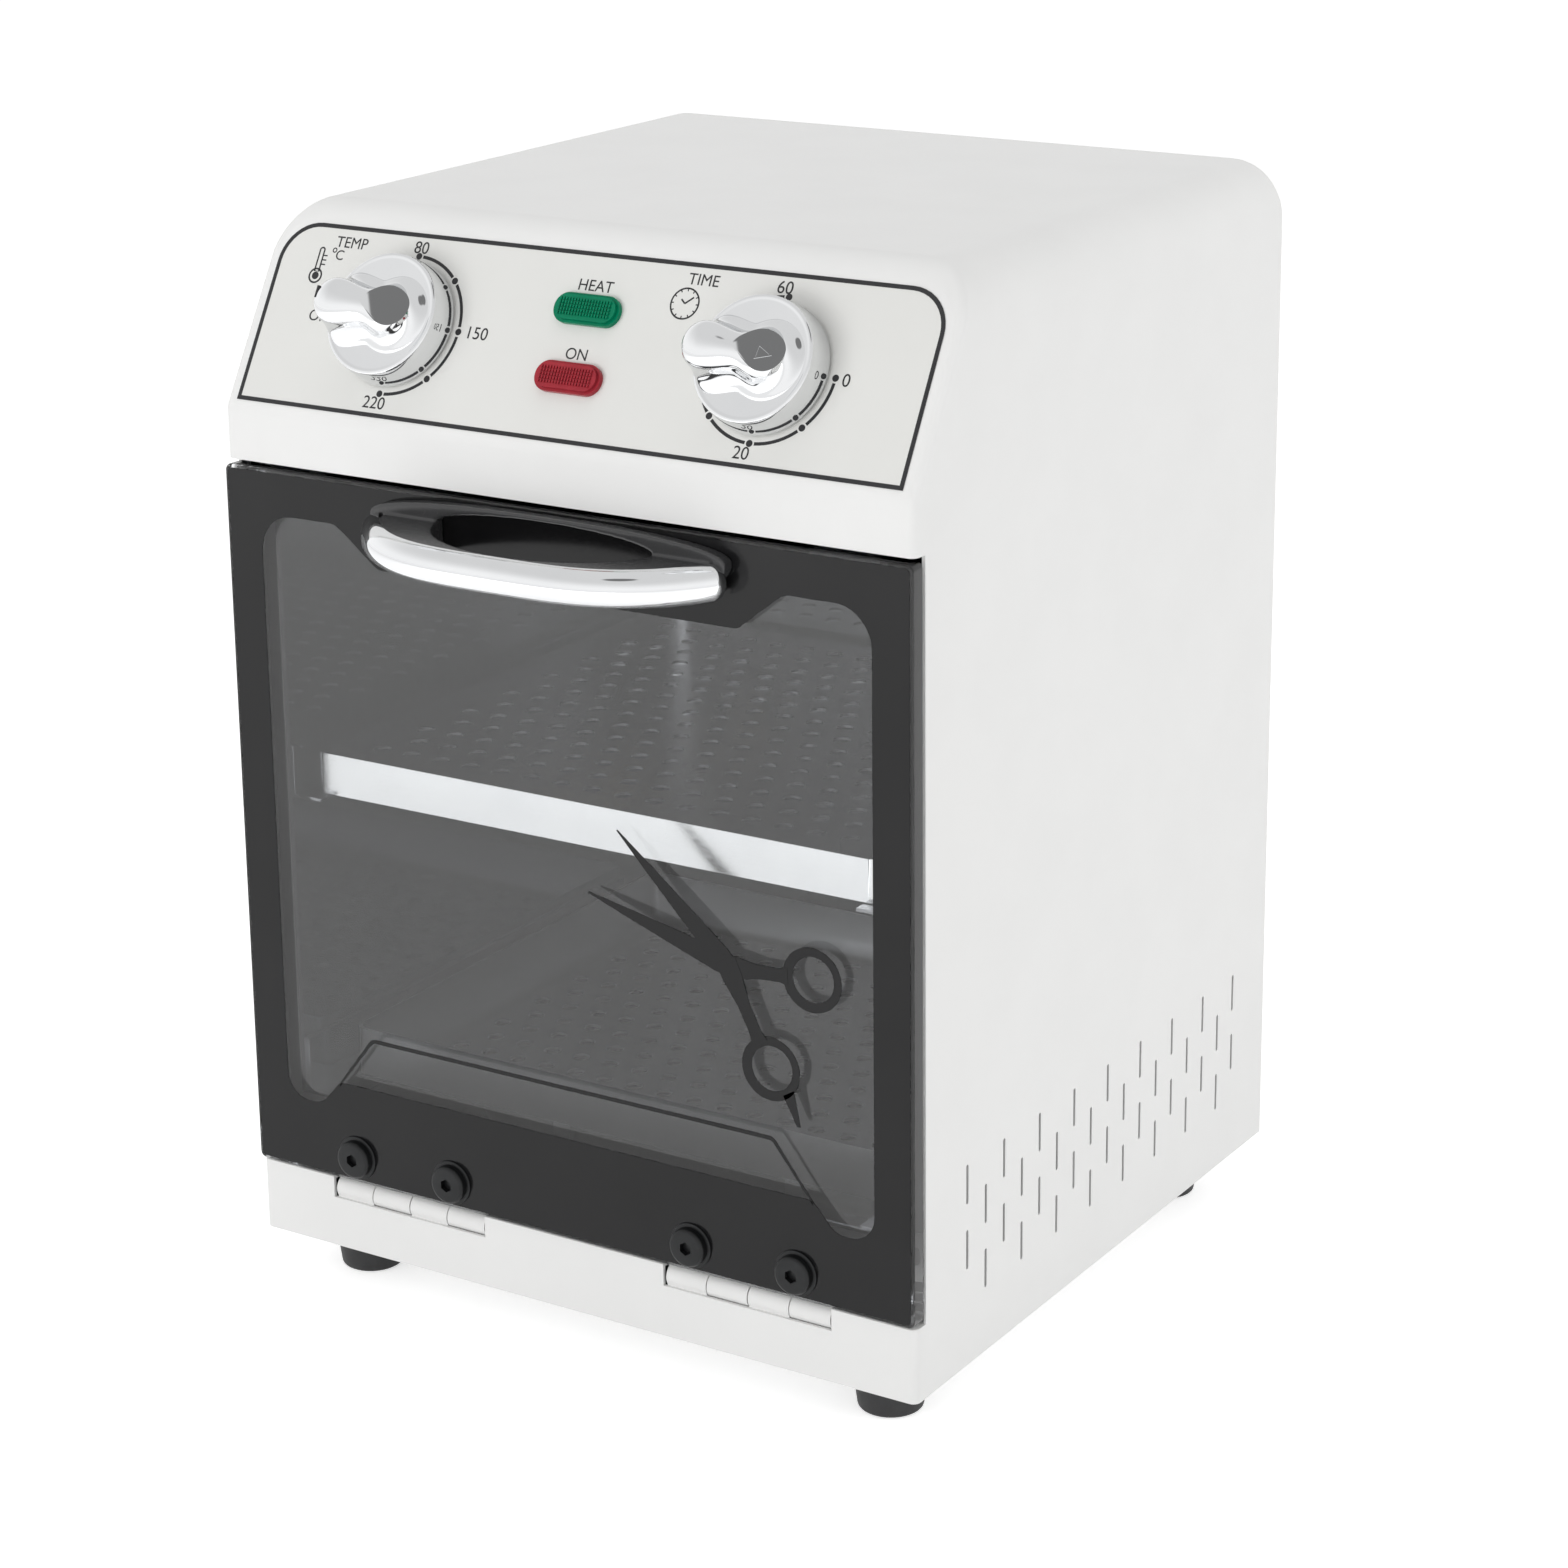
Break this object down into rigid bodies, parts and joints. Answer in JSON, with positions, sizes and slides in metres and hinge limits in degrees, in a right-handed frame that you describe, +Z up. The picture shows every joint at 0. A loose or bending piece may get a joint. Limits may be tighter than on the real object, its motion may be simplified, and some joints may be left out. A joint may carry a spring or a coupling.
{
  "type": "dry heat sterilizer",
  "caption": "Bench-top dry heat sterilizer: white sheet cabinet, drop-down glass door with bow handle, perforated trays, sloped panel with dials and indicator lamps.",
  "frame": {"origin": "on the table, under the middle of the whole object's floor plan, handle and inlet included", "axes": "+Z up, +X to the right when facing the door, -Y towards the user, out of the door"},
  "size_m": [0.22, 0.2448, 0.315],
  "materials": {
    "white_paint": "smooth off-white powder coat",
    "polished_steel": "mirror-polished stainless steel",
    "plain_steel": "zinc-plated sheet",
    "bright_chrome": "polished chrome plating",
    "black_moulding": "satin black moulding",
    "black_fastener": "black coated steel",
    "black_rubber": "matt rubber",
    "silicone": "translucent grey silicone",
    "door_pane": "clear tempered glass with a dark tint",
    "green_lens": "translucent green",
    "red_lens": "translucent red",
    "ceramic": "white ceramic",
    "brass_contact": "bright brass",
    "mineral_wool": "loose mineral wool",
    "magnet": "ferrite magnet",
    "element_sheath": "oxidised steel sheath"
  },
  "bodies": {
    "cabinet": {"outer_shell": "white_paint", "base_pan": "white_paint", "rear_panel": "white_paint", "rear_screws": "plain_steel", "feet": "black_rubber", "foot_screws": "plain_steel", "foot_nuts": "plain_steel", "power_inlet": "black_moulding", "inlet_pins": "brass_contact", "inlet_screws": "plain_steel", "earth_stud": "brass_contact", "earth_nut": "brass_contact", "front_frame": "polished_steel", "chamber_liner": "polished_steel", "liner_supports": "plain_steel", "door_gasket": "silicone", "door_magnets": "magnet", "upper_tray_rails": "polished_steel", "lower_tray_rails": "polished_steel", "upper_heater": "element_sheath", "lower_heater": "element_sheath", "heater_bushings": "ceramic", "heater_clips": "plain_steel", "temperature_sensor": "brass_contact", "sensor_clips": "plain_steel", "base_insulation": "mineral_wool", "top_insulation": "mineral_wool", "rear_insulation": "mineral_wool", "side_insulation": "mineral_wool", "thermostat_body": "black_moulding", "timer_body": "black_moulding", "control_screws": "plain_steel", "green_lamp_lens": "green_lens", "red_lamp_lens": "red_lens", "lamp_housings": "black_moulding", "control_shelf": "plain_steel", "terminal_block": "ceramic", "overheat_cutout": "ceramic", "hinge_leaves_fixed": "white_paint", "hinge_pins": "plain_steel"},
    "door": {"door_glass": "door_pane", "door_bolts": "black_fastener", "door_washers": "black_fastener", "door_nuts": "plain_steel", "hinge_leaves_door": "white_paint", "strike_plates": "plain_steel", "handle_body": "black_moulding", "handle_trim": "bright_chrome", "handle_screws": "plain_steel"},
    "upper_tray_body": {"upper_tray": "polished_steel"},
    "lower_tray_body": {"lower_tray": "polished_steel"},
    "temperature_dial": {"temperature_knob": "bright_chrome", "thermostat_shaft": "plain_steel"},
    "timer_dial": {"timer_knob": "bright_chrome", "timer_shaft": "plain_steel"}
  },
  "joints": [
    {"name": "door_hinge", "type": "hinge", "parent": "cabinet", "child": "door", "pos_m": [0, -0.0861, 0.0325], "axis": [1, 0, 0], "range_deg": [0, 88]},
    {"name": "upper_tray_slide", "type": "slide", "parent": "cabinet", "child": "upper_tray_body", "axis": [0, -1, 0], "range_m": [0, 0.08]},
    {"name": "lower_tray_slide", "type": "slide", "parent": "cabinet", "child": "lower_tray_body", "axis": [0, -1, 0], "range_m": [0, 0.06]},
    {"name": "temperature_dial_turn", "type": "hinge", "parent": "cabinet", "child": "temperature_dial", "pos_m": [-0.059, -0.07593, 0.28575], "axis": [0, 0.866, -0.5], "range_deg": [0, 270]},
    {"name": "timer_dial_turn", "type": "hinge", "parent": "cabinet", "child": "timer_dial", "pos_m": [0.059, -0.07593, 0.28575], "axis": [0, 0.866, -0.5], "range_deg": [0, 270]}
  ],
  "couplings": [
    {"joint": "upper_tray_slide", "follows": "door_hinge", "m_per_rad": 0.052},
    {"joint": "lower_tray_slide", "follows": "door_hinge", "m_per_rad": 0.039}
  ]
}
